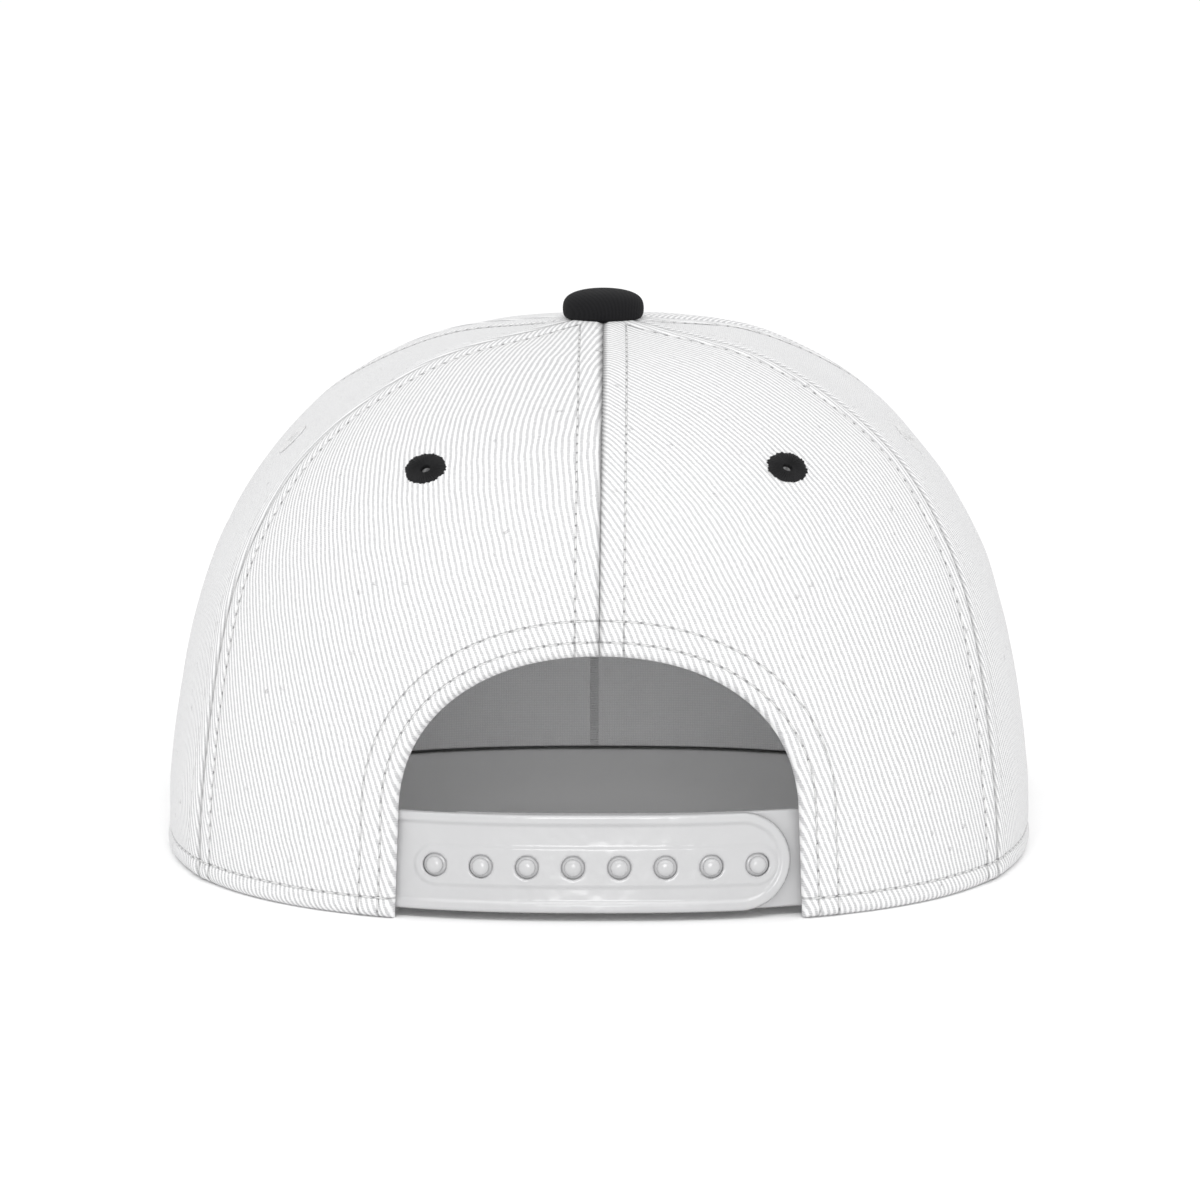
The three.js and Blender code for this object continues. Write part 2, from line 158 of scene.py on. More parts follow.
def solve(rising, target, low, high):
    for _ in range(30):
        middle = (low + high) / 2
        if rising(middle) < target:
            low = middle
        else:
            high = middle
    return (low + high) / 2


def profile_at(column, row):
    values = crown_profile[column]
    i = min(int(row * last_row), last_row - 1)
    t = row * last_row - i
    b, c = values[i], values[i + 1]
    a = values[i - 1] if i else 2 * b - c
    d = values[i + 2] if i + 2 <= last_row else 2 * c - b
    return b + t * (c - a + t * (2 * a - 5 * b + 4 * c - d + t * (3 * b - a - 3 * c + d))) / 2


def rim_radius(azimuth):
    depth = crown_back if math.cos(azimuth) > 0 else crown_front
    across = (abs(math.sin(azimuth)) / crown_half_width) ** crown_squareness
    along = (abs(math.cos(azimuth)) / depth) ** crown_squareness
    return (across + along) ** (-1 / crown_squareness)


def crown_radius(azimuth, row):
    cos = math.cos(azimuth)
    end = profile_at("back" if cos > 0 else "front", row)
    return rim_radius(azimuth) * mix(profile_at("side", row), end, cos * cos)


def brim_underside(x):
    return brim_arch * max(0, 1 - (x / brim_half_width) ** 2)


def rim_height(azimuth):
    climb = smoothstep(abs(azimuth), brim_corner - rim_rise, brim_corner)
    x = rim_radius(azimuth) * math.sin(azimuth)
    return climb * (brim_underside(x) + brim_thickness + clearance)


# A point on the crown's plain face. Azimuths run from the middle of the back towards +X, and
# rows from 0 at the rim to 1 at the crown's point.
def crown_point(azimuth, row):
    rise = profile_at("rise", row)
    radius = crown_radius(azimuth, row)
    return Vector((
        radius * math.sin(azimuth) + peak_shift * rise ** 3,
        crown_y - radius * math.cos(azimuth),
        mix(rim_height(azimuth), crown_height, rise),
    ))


def crown_normal(azimuth, row):
    along = crown_point(azimuth + 0.02, row) - crown_point(azimuth - 0.02, row)
    up = crown_point(azimuth, min(row + 0.01, 1)) - crown_point(azimuth, max(row - 0.01, 0))
    normal = along.cross(up)
    normal.z *= min(1, row * last_row)
    return normal.normalized()


rise_marks = [solve(lambda row: profile_at("rise", row), k / 500, 0, 1) for k in range(501)]


def sampled(values, share):
    k = min(int(share * (len(values) - 1)), len(values) - 2)
    return mix(values[k], values[k + 1], share * (len(values) - 1) - k)


def row_at_height(azimuth, height):
    rim = rim_height(azimuth)
    return sampled(rise_marks, min(1, max(0, (height - rim) / (crown_height - rim))))


def row_at_radius(azimuth, radius):
    return solve(lambda row: -crown_radius(azimuth, row), -radius, 0, 1)


# Length of cloth from the rim up to a row, measured along a side seam.
length_marks = 400
seam_marks = [crown_point(gore_angle, k / length_marks) for k in range(length_marks + 1)]
seam_lengths = [0]
for below, above in zip(seam_marks, seam_marks[1:]):
    seam_lengths.append(seam_lengths[-1] + (above - below).length)


def length_at_row(row):
    k = min(int(row * length_marks), length_marks - 1)
    return mix(seam_lengths[k], seam_lengths[k + 1], row * length_marks - k)


def row_at_length(length):
    return solve(length_at_row, length, 0, 1)


# The arch's edge on the right-hand side, from its foot (share 0) to the middle of the back (1).
def arch_edge(share):
    if share < upright_share:
        return arch_corner, row_at_height(arch_corner, arch_upright * share / upright_share)
    angle = math.pi / 2 * (share - upright_share) / (1 - upright_share)
    azimuth = arch_corner * max(0, math.cos(angle)) ** (2 / arch_squareness)
    height = mix(arch_upright, arch_height, math.sin(angle) ** (2 / arch_squareness))
    row = row_at_height(azimuth, height)
    return max(azimuth, seam_gap / 2 / crown_radius(0, row)), row


arch_corner = solve(lambda a: rim_radius(a) * math.sin(a), arch_half_width, 0, gore_angle)
arch_marks = [crown_point(*arch_edge(k / 240)) for k in range(241)]
arch_lengths = [0]
for before, after in zip(arch_marks, arch_marks[1:]):
    arch_lengths.append(arch_lengths[-1] + (after - before).length)
arch_tree = kdtree.KDTree(len(arch_marks))
for k, point in enumerate(arch_marks):
    arch_tree.insert(point, k)
arch_tree.balance()


# Distance from the arch's edge, and length along the edge from its foot.
def from_arch(point):
    beside = Vector((abs(point.x), point.y, point.z))
    k = arch_tree.find(beside)[1]
    k = min(max(k, 1), len(arch_marks) - 2)
    along = (arch_marks[k + 1] - arch_marks[k - 1]).normalized()
    away = beside - arch_marks[k]
    return (away - along * away.dot(along)).length, arch_lengths[k] + away.dot(along)


eyelets = {
    "rear_left_eyelet": (math.radians(-28), 91 * mm),
    "rear_right_eyelet": (math.radians(30), 91 * mm),
    "side_left_eyelet": (math.radians(-88), 86 * mm),
    "side_right_eyelet": (math.radians(88), 86 * mm),
    "front_left_eyelet": (math.radians(-150), 88 * mm),
    "front_right_eyelet": (math.radians(150), 88 * mm),
}
eyelet_rows = {name: row_at_height(*place) for name, place in eyelets.items()}
eyelet_points = [crown_point(eyelets[name][0], eyelet_rows[name]) for name in eyelets]

# Cloth's relief. It stands out over the seam allowances and folds, sinks where the thread pulls
# it in, and has slight waves of its own.
stitch_pitch = 2.8 * mm
seam_stitch = 5 * mm
hem_stitch = 4.2 * mm
arch_stitches = (3.2 * mm, 7.6 * mm)


def furrow(distance, line, depth=0.28 * mm, width=0.55 * mm):
    return -depth * math.exp(-((distance - line) / width) ** 2)


def relief_at(point, seam, hem, arch):
    out = furrow(seam, seam_stitch)
    out += 0.35 * mm * smoothstep(seam, 0.2 * mm, 1.6 * mm) * (1 - smoothstep(seam, 4.7 * mm, 5.8 * mm))
    if hem < 9 * mm:
        out += furrow(hem, hem_stitch) + 0.3 * mm * math.exp(-((hem - 2.2 * mm) / (1.3 * mm)) ** 2)
    if arch < 12 * mm:
        out += furrow(arch, arch_stitches[0]) + furrow(arch, arch_stitches[1], 0.24 * mm)
        out += 0.35 * mm * (1 - smoothstep(arch, 7.4 * mm, 8.8 * mm))
    from_eyelet = min((point - centre).length for centre in eyelet_points)
    out += furrow(from_eyelet, 5.4 * mm, 0.22 * mm, 1 * mm)
    wave = noise.noise(point * 42) * 0.5 * mm + noise.noise(point * 110) * 0.14 * mm
    edge = min(seam, hem, arch)
    return out * smoothstep(edge, 0, 1.2 * mm) + wave * smoothstep(min(edge, from_eyelet / 2), 0, 4 * mm)


# Outer face of the cloth at a place: the plain point, its normal, the relief, and the distances
# from the nearest seam, the rim and the arch.
def cloth_face(azimuth, row):
    point = crown_point(azimuth, row)
    turned = azimuth % gore_angle
    seam = max(0, min(turned, gore_angle - turned) * crown_radius(azimuth, row) - seam_gap / 2)
    hem = length_at_row(row)
    arch, arch_length = from_arch(point) if abs(azimuth) < gore_angle else (1, 0)
    relief = relief_at(point, seam, hem, arch)
    return point, crown_normal(azimuth, row), relief, (seam, hem, arch, arch_length)


def new_piece(name, bm, finish):
    mesh = bpy.data.meshes.new(name)
    bm.to_mesh(mesh)
    bm.free()
    for face in mesh.polygons:
        face.use_smooth = True
    mesh.materials.append(finish)
    piece = bpy.data.objects.new(name, mesh)
    scene.collection.objects.link(piece)
    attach(piece, "root")
    return piece


# Node tree of one finish, with short ways to add and join its nodes.
class Finish:
    def __init__(self, name, roughness, specular=0.5, sheen=0):
        self.material = bpy.data.materials.new(name)
        self.material.use_nodes = True
        self.tree = self.material.node_tree
        self.shader = self.tree.nodes["Principled BSDF"]
        self.shader.inputs["Roughness"].default_value = roughness
        self.shader.inputs["Specular IOR Level"].default_value = specular
        self.shader.inputs["Sheen Weight"].default_value = sheen
        self.shader.inputs["Sheen Roughness"].default_value = 0.5

    def feed(self, socket, value):
        if isinstance(value, bpy.types.NodeSocket):
            self.tree.links.new(value, socket)
        else:
            socket.default_value = value

    def add(self, kind, *inputs, **settings):
        node = self.tree.nodes.new("ShaderNode" + kind)
        for key, value in settings.items():
            setattr(node, key, value)
        for socket, value in zip(node.inputs, inputs):
            self.feed(socket, value)
        return node.outputs[0]

    def maths(self, operation, *inputs):
        return self.add("Math", *inputs, operation=operation)

    def uv(self, uv_map):
        split = self.tree.nodes.new("ShaderNodeSeparateXYZ")
        self.tree.links.new(self.add("UVMap", uv_map=uv_map), split.inputs[0])
        return split.outputs[0], split.outputs[1]

    def noise(self, place, scale, detail):
        node = self.tree.nodes.new("ShaderNodeTexNoise")
        node.inputs["Scale"].default_value = scale
        node.inputs["Detail"].default_value = detail
        self.tree.links.new(place, node.inputs["Vector"])
        return node.outputs["Fac"]

    def object_place(self):
        return self.tree.nodes.new("ShaderNodeTexCoord").outputs["Object"]

    def wave(self, value, pitch):
        turns = self.maths("MULTIPLY", value, 2 * math.pi / pitch)
        return self.maths("MULTIPLY_ADD", self.maths("SINE", turns), 0.5, 0.5)

    def colour(self, share, low, high):
        node = self.tree.nodes.new("ShaderNodeMix")
        node.data_type = "RGBA"
        for socket, value in zip((node.inputs[0], node.inputs[6], node.inputs[7]), (share, low, high)):
            self.feed(socket, value)
        return node.outputs[2]

    def paint(self, colour):
        self.feed(self.shader.inputs["Base Color"], colour)

    def bump(self, height, depth):
        node = self.tree.nodes.new("ShaderNodeBump")
        node.inputs["Distance"].default_value = depth
        self.tree.links.new(height, node.inputs["Height"])
        self.tree.links.new(node.outputs["Normal"], self.shader.inputs["Normal"])


# Twill: slanting ribs 1.2 mm apart, each a row of short floats, with painted shade in the valleys between the ribs,
# a needle hole painted dark with shade between each two stitches, and painted shade along each stitch row and
# beside the seams. stitch_rows names a UV map and how far from its edge the rows lie. UV maps are in millimetres.
rib_pitch = 1.2
rib_lean = math.radians(20.5)
float_length = 0.5
wander_scale, wander_reach = 0.12, 0.8
yarn_scale, yarn_reach = 1.9, 0.9
valley_from, valley_to = 0.2, 0.75
break_scale, fuzz_scale, fuzz_share = 1.3, 4.5, 0.3
needle_hole = 0.2
stitch_shade_width = 0.34


def twill(name, crest, valley_shade, depth, sheen, stitch_rows=()):
    f = Finish(name, 0.9, specular=0.15, sheen=sheen)
    u, v = f.uv("fabric")
    cloth_place = f.add("UVMap", uv_map="fabric")
    wander = f.noise(cloth_place, wander_scale, 2)
    sin, cos = math.sin(rib_lean), math.cos(rib_lean)
    across = f.maths("MULTIPLY_ADD", v, sin, f.maths("MULTIPLY", u, cos))
    across = f.maths("MULTIPLY_ADD", wander, wander_reach, across)
    along = f.maths("MULTIPLY_ADD", v, cos, f.maths("MULTIPLY", u, -sin))
    along = f.maths("MULTIPLY_ADD", across, 0.45, along)
    yarn = f.maths("SUBTRACT", f.noise(cloth_place, yarn_scale, 4), 0.5)
    rough_wave = f.maths("MULTIPLY_ADD", yarn, yarn_reach, f.wave(across, rib_pitch))
    # valley_share marks the valleys between the ribs. Its colour there is painted shade, and it also drives the
    # bump.
    valley_share = f.add("MapRange", rough_wave, valley_from, valley_to, 1.0, 0.0)
    broken = f.maths("MULTIPLY_ADD", f.wave(along, float_length), 0.5, 0.15)
    broken = f.maths("ADD", f.noise(cloth_place, break_scale, 2), broken)
    weave = f.maths("SUBTRACT", 1.0, f.maths("MULTIPLY", valley_share, broken))
    weave = f.maths("SUBTRACT", weave, fuzz_share / 2)
    weave = f.maths("MULTIPLY_ADD", f.noise(cloth_place, fuzz_scale, 2), fuzz_share, weave)
    whole = None
    painted_groove_shade = 1.0
    faint = f.maths("MULTIPLY_ADD", f.noise(cloth_place, 0.45, 1), 3.6, -1.5)
    for uv_map, rows in stitch_rows:
        away, length = f.uv(uv_map)
        pitch = stitch_pitch / mm
        phase = f.maths("FRACT", f.maths("DIVIDE", length, pitch))
        beside = f.maths("MULTIPLY", f.maths("SUBTRACT", phase, 0.5), pitch)
        square = f.maths("MULTIPLY", beside, beside)
        for row in rows:
            off = f.maths("SUBTRACT", away, row / mm)
            reach = f.maths("SQRT", f.maths("MULTIPLY_ADD", off, off, square))
            clear = f.add("MapRange", reach, needle_hole * 0.5, needle_hole * 1.6, 0.0, 1.0)
            clear = f.maths("MAXIMUM", clear, faint)
            whole = clear if whole is None else f.maths("MULTIPLY", whole, clear)
            # Painted shade: a grey band along each stitch row, darkest at the row's middle.
            beside_row = f.maths("ABSOLUTE", off)
            row_shade = f.add("MapRange", beside_row, stitch_shade_width * 0.4, stitch_shade_width, 0.62, 1.0)
            painted_groove_shade = f.maths("MULTIPLY", painted_groove_shade, row_shade)
        # Painted shade beside the seams: the cloth is darker towards each seam's groove over about the first
        # millimetre.
        if uv_map == "seam":
            painted_groove_shade = f.maths("MULTIPLY", painted_groove_shade, f.add("MapRange", away, 0.1, 1.1, 0.6, 1.0))
    # Crest colour on the ribs and the darker valley colour in the valleys: painted shade in the weave's hollows.
    shade = f.colour(weave, valley_shade, crest)
    if whole is not None:
        # Painted shade from the stitch rows and the seams pulls the colour towards black.
        shade = f.colour(painted_groove_shade, (0, 0, 0, 1), shade)
        # Needle holes painted dark: painted shade inside each hole, stronger or fainter at random.
        shade = f.colour(whole, tuple(0.45 * c for c in valley_shade[:3]) + (1,), shade)
        weave = f.maths("MULTIPLY_ADD", whole, 1.5, weave)
    f.paint(shade)
    f.bump(weave, depth)
    return f.material


# The second colour is the painted shade of the valleys between the ribs.
white_twill = twill(
    "white_twill", (0.82, 0.82, 0.822, 1), (0.5, 0.5, 0.508, 1), 0.08 * mm, 0.1,
    (("seam", (seam_stitch,)), ("hem", (hem_stitch,)), ("arch", arch_stitches)),
)

# Where the grid lines run, in metres from an edge: close together over the folds and furrows.
seam_lines = [
    s * mm for s in (0, 0.04, 0.14, 0.3, 0.5, 0.8, 1.2, 1.8, 2.8, 3.7, 4.2, 4.6, 5, 5.4, 5.8, 6.3, 7.2)
]
hem_lines = [
    s * mm for s in (0, 0.12, 0.35, 0.7, 1.2, 1.8, 2.5, 3.1, 3.5, 3.85, 4.2, 4.55, 4.9, 5.5, 6.5, 7.8, 9.2)
]
arch_lines = [
    s * mm for s in (
        0, 0.12, 0.35, 0.7, 1.2, 1.8, 2.3, 2.7, 2.95, 3.2, 3.45, 3.8, 4.4, 5.4, 6.4, 7, 7.3, 7.6, 7.9, 8.3, 9, 10,
    )
]


# Shares of a width at which grid lines run: near lines from its start, far lines from its end.
def across_width(width, near, far, middle):
    squeeze = min(1, 0.8 * width / (near[-1] + far[-1]))
    start, end = near[-1] * squeeze, width - far[-1] * squeeze
    inner = [mix(start, end, k / middle) for k in range(1, middle)]
    stops = [s * squeeze for s in near] + inner + [width - s * squeeze for s in reversed(far)]
    return [s / width for s in stops]


# Two faces from one grid: place gives each vertex's point on the outer and the inner face. They
# meet all round the edge, which closes the shape.
def two_faced(bm, place, uvs=None):
    outer = list(bm.verts)
    border = {v for e in bm.edges if e.is_boundary for v in e.verts}
    copy = bmesh.ops.duplicate(bm, geom=list(bm.verts) + list(bm.edges) + list(bm.faces))
    maps = {}
    moves = []
    for index, vert in enumerate(outer):
        other = copy["vert_map"][vert]
        outside, inside, maps[vert] = place(index, vert, vert in border)
        if vert in border:
            outside = inside = (outside + inside) / 2
        maps[other] = maps[vert]
        moves += [(vert, outside), (other, inside)]
    for vert, point in moves:
        vert.co = point
    layers = {key: bm.loops.layers.uv.new(key) for key in uvs or ()}
    for face in bm.faces:
        for loop in face.loops:
            for key, layer in layers.items():
                loop[layer].uv = maps[loop.vert][key]


def close_up(bm):
    bmesh.ops.remove_doubles(bm, verts=bm.verts, dist=0.001 * mm)
    bmesh.ops.dissolve_degenerate(bm, edges=bm.edges, dist=0.0001 * mm)
    bmesh.ops.recalc_face_normals(bm, faces=bm.faces)
    if bm.calc_volume(signed=True) < 0:
        bmesh.ops.reverse_faces(bm, faces=bm.faces)


# How far a rounded edge has fallen back at a distance from it.
def rounded(distance, radius):
    return radius * (1 - math.sqrt(max(0, 1 - (1 - min(distance / radius, 1)) ** 2)))


def sew_gore(name, node, chart, eyelet):
    columns, rows = len(chart), len(chart[0])
    middle = (math.floor(eyelets[eyelet][0] / gore_angle) + 0.5) * gore_angle

    def place(index, vert, at_border):
        azimuth, row = chart[index % columns][index // columns]
        point, normal, relief, (seam, hem, arch, arch_length) = cloth_face(azimuth, row)
        radius = crown_radius(azimuth, row)
        thickness = mix(fold, cloth, smoothstep(min(hem, arch), 7.5 * mm, 10 * mm))
        edge = 0 if at_border else min(seam, hem, arch, max(0, radius - post_hole))
        lip = mix(seam_lip, fold_lip, smoothstep(seam - min(hem, arch), -1 * mm, 1 * mm))
        lip = min(lip, thickness * 0.72)
        outer_back, inner_back = rounded(edge, lip), rounded(edge, thickness - lip)
        if at_border:
            relief = 0
        length = hem / mm
        outside = point + normal * (relief - outer_back)
        return outside, point - normal * (thickness - inner_back - relief / 2), {
            "fabric": ((azimuth - middle) * radius / mm, length),
            "seam": (seam / mm, length),
            "hem": (length, azimuth * crown_half_width / mm),
            "arch": (arch / mm, arch_length / mm),
        }

    bm = bmesh.new()
    bmesh.ops.create_grid(bm, x_segments=columns - 1, y_segments=rows - 1, size=1)
    two_faced(bm, place, ("fabric", "seam", "hem", "arch"))
    cut_vent(bm, eyelet)
    close_up(bm)
    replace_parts(new_piece(name, bm, white_twill), node)


# The hole under an eyelet, through both faces of the cloth.
vent_radius = 2.3 * mm


def cut_vent(bm, eyelet):
    azimuth, row = eyelets[eyelet][0], eyelet_rows[eyelet]
    centre, direction = crown_point(azimuth, row), crown_normal(azimuth, row)

    def off_axis(point):
        away = point - centre
        return away - direction * away.dot(direction)

    near = [f for f in bm.faces if (f.calc_center_median() - centre).length < 6 * mm]
    gone = [f for f in near if off_axis(f.calc_center_median()).length < vent_radius]
    bmesh.ops.delete(bm, geom=gone, context="FACES")
    rim = [e for e in bm.edges if e.is_boundary and (e.verts[0].co - centre).length < 6 * mm]
    for vert in {v for e in rim for v in e.verts}:
        away = off_axis(vert.co)
        vert.co += away.normalized() * vent_radius - away
    bmesh.ops.bridge_loops(bm, edges=rim)


# Side and front gores run from seam to seam and from the rim to the hole for the button's post.
def plain_chart(left):
    top = row_at_radius(left + gore_angle / 2, post_hole)
    up = across_width(length_at_row(top), hem_lines, [0], 112)
    rows = [row_at_length(share * length_at_row(top)) for share in up[:-1]] + [top]
    chart = []
    for row in rows:
        radius = crown_radius(left + gore_angle / 2, row)
        width = gore_angle * radius - seam_gap
        stops = across_width(width, seam_lines, seam_lines, 34)
        chart.append([(left + (share * width + seam_gap / 2) / radius, row) for share in stops])
    return [list(column) for column in zip(*chart)]


# A rear gore is a patch between the arch, the side seam, the rim and the back seam. It is blended
# on a flat chart whose middle is the crown's point.
def chart_place(azimuth, row):
    return Vector((math.sin(azimuth), math.cos(azimuth))) * (1 - row)


def seam_edge(seam, side, row):
    return seam + side * seam_gap / 2 / crown_radius(seam, row)


rear_top = row_at_radius(gore_angle / 2, post_hole)
rear_tip = chart_place(gore_angle / 2, rear_top)
arch_top = arch_edge(1)[1]


def rim_side(a):
    return chart_place(mix(arch_corner, seam_edge(gore_angle, -1, 0), a), 0)


def back_seam_side(a):
    row = mix(arch_top, rear_top, a)
    return chart_place(seam_edge(0, 1, row), row) if a < 1 else rear_tip


def side_seam_side(b):
    row = rear_top * b
    return chart_place(seam_edge(gore_angle, -1, row), row) if b < 1 else rear_tip


arch_chart = [chart_place(*arch_edge(k / 240)) for k in range(241)]


def arch_side(b):
    return sampled(arch_chart, b)


def rear_place(a, b):
    flat = rim_side(a) * (1 - b) + back_seam_side(a) * b + arch_side(b) * (1 - a) + side_seam_side(b) * a
    flat -= rim_side(0) * (1 - a) * (1 - b) + rim_side(1) * a * (1 - b)
    flat -= back_seam_side(0) * (1 - a) * b + rear_tip * a * b
    return math.atan2(flat.x, flat.y), 1 - flat.length


def path_length(place):
    marks = [crown_point(*place(k / 16)) for k in range(17)]
    return sum((after - before).length for before, after in zip(marks, marks[1:]))


rear_widths = [path_length(lambda a, b=k / 12: rear_place(a, b)) for k in range(13)]
rear_heights = [path_length(lambda b, a=k / 12: rear_place(a, b)) for k in range(13)]


def rear_chart(side):
    mean_a = across_width(sum(rear_widths) / 13, arch_lines, seam_lines, 50)
    mean_b = across_width(sum(rear_heights) / 13, hem_lines, seam_lines, 84)
    shares_a = [across_width(sampled(rear_widths, b), arch_lines, seam_lines, 50) for b in mean_b]
    chart = []
    for i, a in enumerate(mean_a):
        shares_b = across_width(sampled(rear_heights, a), hem_lines, seam_lines, 84)
        column = []
        for j, b in enumerate(shares_b):
            azimuth, row = rear_place(shares_a[j][i], b)
            column.append((side * azimuth, row))
        chart.append(column)
    return chart


gores = {
    "rear_right": rear_chart(1),
    "rear_left": rear_chart(-1),
    "side_right": plain_chart(math.radians(60)),
    "front_right": plain_chart(math.radians(120)),
    "front_left": plain_chart(math.radians(-180)),
    "side_left": plain_chart(math.radians(-120)),
}
for gore, chart in gores.items():
    sew_gore(gore + "_gore", gore + "_panel", chart, gore + "_eyelet")

# Topstitching of the crown. White thread, in stitches 2.8 mm apart that rise between needle
# holes, on both sides of every seam, along the hem, and in two rows round the arch.
stitch_length = 2.3 * mm
thread_half_width = 0.17 * mm


def thread_finish(name, colour, sheen):
    f = Finish(name, 0.6, specular=0.2, sheen=sheen)
    ply = f.noise(f.object_place(), 2600, 2)
    shadow = tuple(0.6 * c for c in colour[:3]) + (1,)
    f.paint(f.colour(ply, shadow, colour))
    f.bump(ply, 0.05 * mm)
    return f.material


white_thread = thread_finish("white_thread", (0.82, 0.82, 0.82, 1), 0.1)
black_thread = thread_finish("black_thread", (0.0105, 0.0105, 0.0115, 1), 0.01)


# A shape that is repeated: its mesh, and its points before they are placed.
def pattern(name, bm):
    mesh = bpy.data.meshes.new(name)
    bm.to_mesh(mesh)
    bm.free()
    return mesh, [vertex.co.copy() for vertex in mesh.vertices]


def add_copy(bm, shape, matrix):
    mesh, points = shape
    for vertex, point in zip(mesh.vertices, points):
        vertex.co = matrix @ point
    bm.from_mesh(mesh)


stitch_bm = bmesh.new()
bmesh.ops.create_uvsphere(
    stitch_bm, u_segments=6, v_segments=5, radius=1,
    matrix=Matrix.Rotation(math.pi / 2, 4, "Y")
    @ Matrix.Diagonal((thread_half_width * 1.2, thread_half_width, stitch_length / 2, 1)),
)
stitch = pattern("stitch", stitch_bm)


def lay_stitch(bm, middle, along, normal):
    along = along.normalized()
    normal = (normal - along * normal.dot(along)).normalized()
    turned = Matrix((along, normal.cross(along), normal)).transposed().to_4x4()
    add_copy(bm, stitch, Matrix.Translation(middle) @ turned)


# Stitches on the crown: ends gives the two ends of a stitch as azimuths and rows.
def stitch_crown(bm, ends):
    (from_azimuth, from_row), (to_azimuth, to_row) = ends
    along = crown_point(to_azimuth, to_row) - crown_point(from_azimuth, from_row)
    azimuth, row = (from_azimuth + to_azimuth) / 2, (from_row + to_row) / 2
    point, normal, relief, _ = cloth_face(azimuth, row)
    lay_stitch(bm, point + normal * (relief + 0.06 * mm), along, normal)


def seam_place(seam, side, length):
    row = row_at_length(length)
    return seam + side * (seam_stitch + seam_gap / 2) / crown_radius(seam + side * 0.05, row), row


def arch_place(side, length, away):
    def at(a, b):
        return crown_point(*rear_place(a, b))

    b = solve(lambda s: from_arch(at(0.1 * away / (9 * mm), s))[1], length, 0, 1)
    a = solve(lambda s: from_arch(at(s, b))[0], away, 0, 0.4)
    azimuth, row = rear_place(a, b)
    return side * azimuth, row


crown_stitches = bmesh.new()
half_share = stitch_length / stitch_pitch / 2
under_button = length_at_row(row_at_radius(gore_angle / 2, 9.6 * mm))
for seam_number in range(6):
    seam = gore_angle * seam_number
    seam = seam if seam <= math.pi else seam - 2 * math.pi
    first = arch_top if seam == 0 else 0
    lowest = length_at_row(first) + 6 * mm
    for side in (1, -1):
        for k in range(math.ceil(lowest / stitch_pitch), int(under_button / stitch_pitch)):
            low, high = (k - half_share) * stitch_pitch, (k + half_share) * stitch_pitch
            stitch_crown(crown_stitches, (seam_place(seam, side, low), seam_place(seam, side, high)))
hem_row = row_at_length(hem_stitch)
first_hem_stitch = math.ceil((arch_corner * crown_half_width + 1 * mm) / stitch_pitch)
last_hem_stitch = int(math.pi * crown_half_width / stitch_pitch)
for k in range(first_hem_stitch, last_hem_stitch + 1):
    for side in (1, -1):
        ends = [side * (k + half) * stitch_pitch / crown_half_width for half in (-half_share, half_share)]
        stitch_crown(crown_stitches, [(azimuth, hem_row) for azimuth in ends])
for away in arch_stitches:
    for k in range(1, int(arch_lengths[-1] / stitch_pitch)):
        for side in (1, -1):
            ends = [arch_place(side, (k + half) * stitch_pitch, away) for half in (-half_share, half_share)]
            stitch_crown(crown_stitches, ends)
new_piece("crown_topstitching", crown_stitches, white_thread)

# Eyelets. Round holes overcast with thick thread, black on the rear gores and white on the
# others. The threads run from the hole outwards and end unevenly on the cloth.
eyelet_reach = 4.7 * mm
eyelet_rise = 0.5 * mm
eyelet_sink = 0.12 * mm
eyelet_oval = (1.06, 0.86)
eyelet_threads = 44
across_thread = 6
eyelet_outline = (
    (1, -1.7), (1, -0.3), (1.15, 0.35), (1.6, 0.75), (2.3, 0.95), (3, 1), (3.6, 0.92),
    (4.1, 0.7), (4.4, 0.4), (4.5, 0.1), (4.1, -0.3), (2, -0.3), (2, -1.7), (1, -1.7),
)


def on_crown(azimuth, row, aside, up, out):
    step = 0.01
    rate = (crown_point(azimuth, row + step) - crown_point(azimuth, row - step)).length / (2 * step)
    row += up / rate
    azimuth += aside / crown_radius(azimuth, row)
    return crown_point(azimuth, row) + crown_normal(azimuth, row) * out


def overcast(name, finish, seed):
    draw = random.Random(seed)
    azimuth, row = eyelets[name][0], eyelet_rows[name]
    bm = bmesh.new()
    ring = [bm.verts.new((radius * mm, 0, height * eyelet_rise)) for radius, height in eyelet_outline[:-1]]
    edges = [bm.edges.new((a, b)) for a, b in zip(ring, ring[1:] + ring[:1])]
    bmesh.ops.spin(
        bm, geom=ring + edges, cent=(0, 0, 0), axis=(0, 0, 1), angle=2 * math.pi,
        steps=eyelet_threads * across_thread, use_merge=True,
    )
    ends = [draw.uniform(-0.25, 0.3) * mm for _ in range(eyelet_threads)]
    leans = [draw.uniform(-0.06, 0.06) for _ in range(eyelet_threads)]
    lifts = [draw.uniform(0.85, 1.15) for _ in range(eyelet_threads)]
    for vert in bm.verts:
        radius, height = math.hypot(vert.co.x, vert.co.y), vert.co.z
        angle = math.atan2(vert.co.y, vert.co.x) % (2 * math.pi)
        turn = angle / (2 * math.pi) * eyelet_threads
        thread = int(turn) % eyelet_threads
        crest = math.sin(math.pi * (turn % 1)) ** 0.6
        outer = smoothstep(radius, 2.5 * mm, eyelet_reach)
        if height > -0.2 * mm:
            radius += ends[thread] * outer * crest
            height = height * lifts[thread] * mix(0.45, 1, crest) if height > 0 else height
            angle += leans[thread] * outer * crest
        aside, up = radius * math.cos(angle) * eyelet_oval[0], radius * math.sin(angle) * eyelet_oval[1]
        vert.co = on_crown(azimuth, row, aside, up, height - eyelet_sink)
    close_up(bm)
    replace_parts(new_piece(name + "_thread", bm, finish), name)


